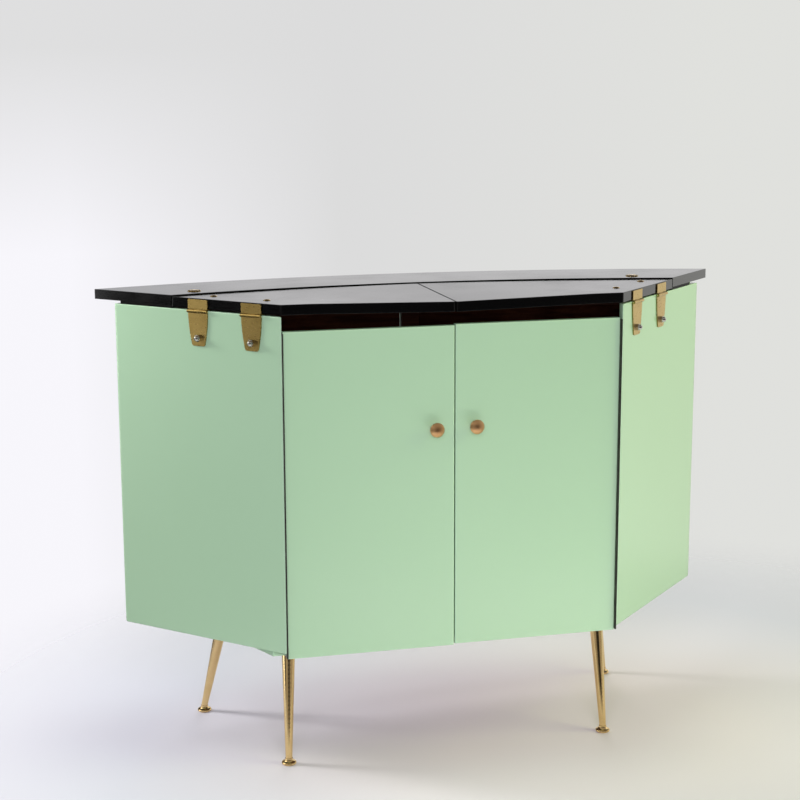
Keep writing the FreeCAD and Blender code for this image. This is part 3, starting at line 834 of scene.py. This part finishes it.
@dataclass(frozen=True)
class SoftLight:
    """Rectangular lamp aimed at a point, not mirrored in polished metal."""

    name: str
    place: Triple
    aim: Triple
    size: Span
    watts: float
    colour: Colour = (1.0, 1.0, 1.0)
    lights_floor: bool = True

    def build(self, floor: bpy.types.Object) -> None:
        """Hang the lamp.

        Args:
            floor: Studio floor, which a lamp close to it leaves unlit.
        """
        lamp = bpy.data.lights.new(self.name, "AREA")
        lamp.shape = "RECTANGLE"
        lamp.size, lamp.size_y = self.size
        lamp.energy = self.watts
        lamp.color = self.colour
        holder = bpy.data.objects.new(self.name, lamp)
        bpy.context.scene.collection.objects.link(holder)
        holder.location = self.place
        holder.rotation_euler = (Vector(self.aim) - Vector(self.place)).to_track_quat("-Z", "Y").to_euler()
        holder.visible_glossy = False
        holder.visible_camera = False
        if not self.lights_floor:
            unlit = bpy.data.collections.new(f"{self.name}_unlit")
            unlit.objects.link(floor)
            holder.light_linking.receiver_collection = unlit
            unlit.collection_objects[0].light_linking.link_state = "EXCLUDE"


@dataclass(frozen=True)
class Rim:
    """Soft rim in the surround: the value of an axis where a thing is gone, and where it is whole."""

    axis: Axis
    gone: float
    whole: float
    least: float = 0.0

    def share(self, graph: Graph, direction: bpy.types.NodeOutputs) -> Socket:
        """Share of the thing that shows in a direction.

        Args:
            graph: Graph of the world.
            direction: Separated axes of the viewing direction.

        Returns:
            Value socket, from the least share to 1.
        """
        return graph.span(direction[self.axis.value], self.least, 1.0, (self.gone, self.whole))


@dataclass(frozen=True)
class Patch:
    """Patch of the surround in one colour, whole where all of its rims are."""

    colour: Colour
    rims: tuple[Rim, ...]

    def over(self, graph: Graph, direction: bpy.types.NodeOutputs, under: Colour | Socket) -> Socket:
        """Lay the patch over what is there.

        Args:
            graph: Graph of the world.
            direction: Separated axes of the viewing direction.
            under: Colour or colour socket below the patch.

        Returns:
            Colour socket.
        """
        share, *others = [rim.share(graph, direction) for rim in self.rims]
        for other in others:
            share = graph.reckon(Calculation.PRODUCT, share, other)
        return graph.mix(share, under, self.colour)


# What the camera and polished surfaces see round the cabinet
ROOM = (0.024, 0.022, 0.021)
CEILING = (0.36, 0.34, 0.32)
BACKDROP = (0.715, 0.715, 0.715)
SHADED_WALL = (0.76, 0.76, 0.79)
RIGHT_BACKDROP = Patch((0.745, 0.75, 0.725), (Rim(Axis.ACROSS, 0.22, 0.42),))
BACKDROP_GLOW = Patch((0.935, 0.925, 0.97), (Rim(Axis.ACROSS, 0.21, 0.05), Rim(Axis.RISE, 0.02, -0.10, 0.1)))
LIT_WALL = Patch((0.96, 0.95, 0.96), (Rim(Axis.ACROSS, 0.05, 0.17),))
DARK_ABOVE = Patch(ROOM, (Rim(Axis.RISE, 0.30, 0.45),))
RIGHT_PANE = Patch((1.15, 1.15, 1.10), (Rim(Axis.ACROSS, 0.55, 0.85),))
DARK_LEFT = Patch(ROOM, (Rim(Axis.ACROSS, -0.02, -0.14),))
LEFT_PANE = Patch((5.60, 5.60, 5.65), (
    Rim(Axis.ACROSS, -0.60, -0.85), Rim(Axis.RISE, -0.28, -0.16), Rim(Axis.RISE, 0.18, 0.05),
    Rim(Axis.AHEAD, -0.05, 0.03), Rim(Axis.AHEAD, 0.45, 0.25)))
SKYLIGHT = Patch((3.00, 3.00, 2.95), (
    Rim(Axis.RISE, 0.36, 0.46), Rim(Axis.RISE, 0.84, 0.74), Rim(Axis.ACROSS, -0.50, -0.72)))
RIGHT_CORNER = Patch(CEILING, (Rim(Axis.ACROSS, 0.40, 0.65),))
LEFT_CORNER = Patch(CEILING, (Rim(Axis.ACROSS, -0.35, -0.55), Rim(Axis.ACROSS, -0.92, -0.80)))
FRONT_CEILING = Patch(CEILING, (Rim(Axis.RISE, 0.20, 0.50),))
FRONT_FLOOR = Patch((0.95, 0.92, 0.90), (Rim(Axis.RISE, -0.42, -0.60),))


@dataclass
class Studio:
    """Pale floor, soft lamps, a bright wall behind and a dim room in front."""

    floor_radius: float = 2.0
    floor_sides: int = 96
    # Middle of the floor and of the painted light on it
    floor_centre: Triple = (0.32, -0.2, 0.0)
    ambient: Colour = (0.30, 0.29, 0.285)
    upper_wall: Rim = Rim(Axis.RISE, 0.05, 0.09)
    behind: Rim = Rim(Axis.AHEAD, -0.17, -0.06)
    wall_patches: tuple[Patch, ...] = (DARK_ABOVE, RIGHT_PANE, DARK_LEFT, LEFT_PANE, SKYLIGHT)
    front_patches: tuple[Patch, ...] = (RIGHT_CORNER, LEFT_CORNER, FRONT_CEILING, FRONT_FLOOR)
    lamps: tuple[SoftLight, ...] = (
        SoftLight("left_window", place=(-2.2, 0.9, 1.5), aim=(-0.3, 0.0, 0.4), size=(0.5, 0.6), watts=29.3,
                  colour=(1.0, 0.97, 0.94)),
        SoftLight("left_lamp", place=(-1.05, 0.28, 1.15), aim=(-0.60, -0.03, 0.80), size=(0.3, 0.3),
                  watts=2.5),
        SoftLight("right_window", place=(2.3, -1.0, 1.9), aim=(0.2, 0.0, 0.5), size=(1.4, 1.4), watts=26.6,
                  colour=(0.90, 1.0, 0.46)),
        SoftLight("front_fill", place=(-0.8, -3.2, 1.8), aim=(0.0, 0.0, 0.6), size=(1.6, 1.6), watts=58.0,
                  colour=(0.885, 0.855, 1.0)),
        SoftLight("overhead", place=(-0.05, 0.05, 3.2), aim=(0.0, 0.0, 0.0), size=(0.7, 0.7), watts=16.0,
                  colour=(0.92, 0.97, 1.0)),
        SoftLight("rear_fill", place=(0.8, 2.6, 1.4), aim=(0.0, 0.2, 0.5), size=(1.2, 1.2), watts=24.5,
                  colour=(1.0, 0.97, 0.96)),
        SoftLight("floor_glow", place=(0.45, -0.85, 0.03), aim=(0.3, -0.2, 0.35), size=(1.3, 0.3), watts=5.2,
                  colour=(1.0, 0.88, 0.92), lights_floor=False),
    )

    def build_floor(self) -> bpy.types.Object:
        """Lay a round sheet of paper under the cabinet.

        Returns:
            The floor.
        """
        mesh = bpy.data.meshes.new("studio_floor")
        shape = bmesh.new()
        bmesh.ops.create_circle(shape, cap_ends=True, segments=self.floor_sides, radius=self.floor_radius)
        shape.to_mesh(mesh)
        shape.free()
        floor = bpy.data.objects.new("studio_floor", mesh)
        bpy.context.scene.collection.objects.link(floor)
        floor.location = self.floor_centre
        mesh.materials.append(FLOOR.material())
        return floor

    def mirrored(self, graph: Graph, direction: bpy.types.NodeOutputs, backdrop: Socket) -> Socket:
        """Colour of the surround as polished surfaces mirror it.

        Args:
            graph: Graph of the world.
            direction: Separated axes of the viewing direction.
            backdrop: Colour of the backdrop.

        Returns:
            Colour socket.
        """
        upper = LIT_WALL.over(graph, direction, SHADED_WALL)
        wall = graph.mix(self.upper_wall.share(graph, direction), backdrop, upper)
        for patch in self.wall_patches:
            wall = patch.over(graph, direction, wall)
        front = ROOM
        for patch in self.front_patches:
            front = patch.over(graph, direction, front)
        return graph.mix(self.behind.share(graph, direction), front, wall)

    def build_surround(self) -> None:
        """Make the world: a pale backdrop, what metal mirrors, and a plain ambient light."""
        world = bpy.data.worlds.new("studio")
        bpy.context.scene.world = world
        world.use_nodes = True
        graph = Graph(world.node_tree)
        view = graph.add("ShaderNodeTexCoord").outputs["Generated"]
        direction = graph.add("ShaderNodeSeparateXYZ", {0: view}).outputs
        backdrop = RIGHT_BACKDROP.over(graph, direction, BACKDROP)
        backdrop = BACKDROP_GLOW.over(graph, direction, backdrop)
        path = graph.add("ShaderNodeLightPath").outputs
        colour = graph.mix(path["Is Glossy Ray"], self.ambient, self.mirrored(graph, direction, backdrop))
        seen = graph.reckon(Calculation.LARGER, path["Is Camera Ray"], path["Is Transmission Ray"])
        colour = graph.mix(seen, colour, backdrop)
        sky = graph.add("ShaderNodeBackground", {"Color": colour, "Strength": 1.0})
        graph.add("ShaderNodeOutputWorld", {"Surface": sky.outputs[0]})

    def build(self) -> None:
        """Set up floor, surround and lamps."""
        floor = self.build_floor()
        self.build_surround()
        for lamp in self.lamps:
            lamp.build(floor)


@dataclass
class PhotoCamera:
    """Camera at the photograph's viewing angle."""

    place: Triple = (-0.92080, -3.38556, 1.40467)
    yaw: float = 0.24762
    pitch: float = 0.1906
    roll: float = -0.00368
    lens: float = 74.46
    sensor: float = 36.0

    def build(self) -> None:
        """Put up the camera and make it the scene's."""
        camera = bpy.data.cameras.new("photo_camera")
        camera.sensor_width = self.sensor
        camera.lens = self.lens
        holder = bpy.data.objects.new("photo_camera", camera)
        bpy.context.scene.collection.objects.link(holder)
        level = math.cos(self.pitch)
        forward = Vector((math.sin(self.yaw) * level, math.cos(self.yaw) * level, -math.sin(self.pitch)))
        right = Vector((math.cos(self.yaw), -math.sin(self.yaw), 0.0))
        up = right.cross(forward)
        tilted_right = right * math.cos(self.roll) + up * math.sin(self.roll)
        tilted_up = up * math.cos(self.roll) - right * math.sin(self.roll)
        turn = Matrix((tilted_right, tilted_up, -forward)).transposed().to_4x4()
        holder.matrix_world = Matrix.Translation(self.place) @ turn
        bpy.context.scene.camera = holder


def main() -> None:
    """Dress the cabinet, then set up the studio and the camera."""
    logging.basicConfig(level=logging.INFO, format="%(message)s")
    bpy.context.scene.view_settings.view_transform = "Standard"
    assemblies = [Carcass(), Counter(), StrapHinges(), SplayedLegs(), *map(FoldOutLeaf, Side), Doors()]
    for assembly in assemblies:
        assembly.dress()
    Studio().build()
    PhotoCamera().build()


if __name__ == "__main__":
    main()
